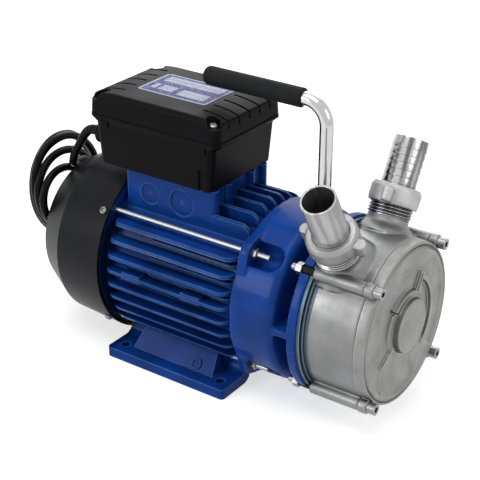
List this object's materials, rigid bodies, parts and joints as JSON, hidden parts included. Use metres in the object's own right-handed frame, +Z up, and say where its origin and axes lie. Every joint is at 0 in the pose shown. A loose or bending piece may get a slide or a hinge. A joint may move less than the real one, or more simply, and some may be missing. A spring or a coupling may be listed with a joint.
{
  "type": "electric transfer pump",
  "caption": "Foot-mounted electric motor with a flanged stainless self-priming pump head, two hose tails, a terminal box, a carrying handle and a mains cord.",
  "frame": {"origin": "centre of the foot bolt pattern on the mounting plane", "axes": "+X along the shaft towards the pump head, +Y to the left seen from the pump head's side looking along +X, +Z up"},
  "size_m": [0.3362, 0.1486, 0.2273],
  "materials": {
    "blue_paint": "glossy painted casting",
    "black_plastic": "fine matt moulding",
    "black_rubber": "matt",
    "stainless": "satin cast stainless steel",
    "chrome": "polished",
    "zinc_steel": "bright zinc plate",
    "machined_steel": "ground steel",
    "cast_alloy": "die cast",
    "copper": "varnished winding wire",
    "wheel_brass": "machined casting",
    "seal_carbon": "lapped carbon"
  },
  "bodies": {
    "frame": {"motor_housing": "blue_paint", "pump_bracket": "blue_paint", "rear_end_shield": "blue_paint", "terminal_box_base": "black_plastic", "terminal_box_lid": "black_plastic", "fan_cover": "black_plastic", "terminal_block": "black_plastic", "cable_gland_body": "black_plastic", "cable_gland_nut": "black_plastic", "power_plug": "black_plastic", "handle_grip": "black_rubber", "lid_gasket": "black_rubber", "seat_gasket": "black_rubber", "power_cord_lead": "black_rubber", "power_cord_coil": "black_rubber", "power_cord_tail": "black_rubber", "rear_seal_ring": "black_rubber", "front_seal_ring": "black_rubber", "suction_gasket": "black_rubber", "delivery_gasket": "black_rubber", "pump_casing": "stainless", "front_cover": "stainless", "seal_plate": "stainless", "port_plate": "stainless", "suction_hose_tail": "stainless", "handle_bar": "chrome", "delivery_hose_tail": "chrome", "tie_rods": "zinc_steel", "tie_rod_nuts": "zinc_steel", "casing_bolts": "zinc_steel", "casing_bolt_nuts": "zinc_steel", "lid_screws": "zinc_steel", "box_screws": "zinc_steel", "fan_cover_screws": "zinc_steel", "handle_lock_nut": "zinc_steel", "front_bearing_outer_ring": "machined_steel", "front_bearing_balls": "machined_steel", "rear_bearing_outer_ring": "machined_steel", "rear_bearing_balls": "machined_steel", "wave_spring": "machined_steel", "stator_core": "machined_steel", "run_capacitor": "cast_alloy", "stator_windings": "copper", "seal_seat": "seal_carbon"},
    "rotor": {"motor_shaft": "machined_steel", "rotor_core": "cast_alloy", "cooling_fan": "black_plastic", "front_bearing_inner_ring": "machined_steel", "rear_bearing_inner_ring": "machined_steel", "shaft_slinger": "black_rubber", "seal_head": "seal_carbon", "pump_wheel": "wheel_brass", "wheel_key": "machined_steel"},
    "suction_nut": {"suction_union_nut": "stainless"},
    "delivery_nut": {"delivery_union_nut": "stainless"}
  },
  "joints": [
    {"name": "rotor_spin", "type": "hinge", "parent": "frame", "child": "rotor", "pos_m": [0, 0, 0.071], "axis": [1, 0, 0], "continuous": true},
    {"name": "suction_nut_turn", "type": "hinge", "parent": "frame", "child": "suction_nut", "pos_m": [0.129, -0.0425, 0.14461], "axis": [0, -0.5, 0.866], "range_deg": [0, 360]},
    {"name": "delivery_nut_turn", "type": "hinge", "parent": "frame", "child": "delivery_nut", "pos_m": [0.129, 0.0425, 0.14461], "axis": [0, 0.5, 0.866], "range_deg": [0, 360]}
  ]
}
